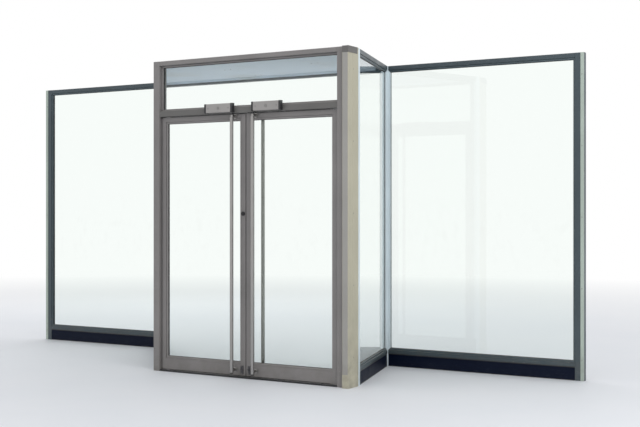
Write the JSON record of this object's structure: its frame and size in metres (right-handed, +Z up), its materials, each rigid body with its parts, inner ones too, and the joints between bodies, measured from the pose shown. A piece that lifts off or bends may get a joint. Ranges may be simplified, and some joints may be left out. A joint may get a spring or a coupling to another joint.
{
  "type": "recessed glazed shopfront with double doors",
  "caption": "Glazed aluminium shopfront with a splayed recessed lobby, a transom light and a pair of double-action swing doors with full-height pulls.",
  "frame": {"origin": "On the floor, in the middle of the shopfront's bounding box", "axes": "+X to the right as seen from inside the shop, along the front; +Y towards the street; +Z up"},
  "size_m": [5.49, 1.3665, 2.506],
  "materials": {
    "clear_glass": "clear toughened glass",
    "black_kerb": "near-black satin kerb facing",
    "soffit_board": "matt white soffit panel",
    "cream_column": "satin cream-grey casing",
    "pale_post": "pale blue-grey powder coat",
    "brushed_steel": "brushed stainless steel",
    "dark_fitting": "dark satin fitting",
    "mill_aluminium": "mill-finish aluminium",
    "dark_frame": "dark grey powder coat",
    "grey_frame": "warm grey powder coat"
  },
  "bodies": {
    "screen": {"door_head": "grey_frame", "door_transom": "grey_frame", "drop_bolt_housings": "dark_fitting", "floor_pivots": "brushed_steel", "head_pivots": "brushed_steel", "left_corner_post": "pale_post", "left_door_post": "grey_frame", "left_return_glass": "clear_glass", "left_return_head": "dark_frame", "left_return_kerb": "black_kerb", "left_return_post": "pale_post", "left_return_sill": "dark_frame", "left_wall_post": "dark_frame", "left_window_glass": "clear_glass", "left_window_head": "dark_frame", "left_window_kerb": "black_kerb", "left_window_sill": "dark_frame", "lobby_head": "dark_frame", "lobby_soffit": "soffit_board", "right_column": "cream_column", "right_corner_post": "pale_post", "right_door_post": "grey_frame", "right_return_glass": "clear_glass", "right_return_head": "dark_frame", "right_return_kerb": "black_kerb", "right_return_post": "pale_post", "right_return_sill": "dark_frame", "right_wall_post": "dark_frame", "right_window_glass": "clear_glass", "right_window_head": "dark_frame", "right_window_kerb": "black_kerb", "right_window_sill": "dark_frame", "threshold": "mill_aluminium", "transom_glass": "clear_glass"},
    "left_leaf": {"left_leaf_bottom_rail": "grey_frame", "left_leaf_glass": "clear_glass", "left_leaf_inside_pull": "brushed_steel", "left_leaf_lock": "dark_fitting", "left_leaf_meeting_stile": "grey_frame", "left_leaf_outside_pull": "brushed_steel", "left_leaf_pivot_stile": "grey_frame", "left_leaf_top_rail": "grey_frame"},
    "right_leaf": {"right_leaf_bottom_rail": "grey_frame", "right_leaf_glass": "clear_glass", "right_leaf_inside_pull": "brushed_steel", "right_leaf_meeting_stile": "grey_frame", "right_leaf_outside_pull": "brushed_steel", "right_leaf_pivot_stile": "grey_frame", "right_leaf_top_rail": "grey_frame"}
  },
  "joints": [
    {"name": "left_leaf_swing", "type": "hinge", "parent": "screen", "child": "left_leaf", "pos_m": [-0.2645, -0.59175, 0.018], "axis": [0, 0, 1], "range_deg": [-90, 90], "stiffness_Nm_per_rad": 10},
    {"name": "right_leaf_swing", "type": "hinge", "parent": "screen", "child": "right_leaf", "pos_m": [1.2345, -0.59175, 0.018], "axis": [0, 0, -1], "range_deg": [-90, 75], "stiffness_Nm_per_rad": 10}
  ]
}
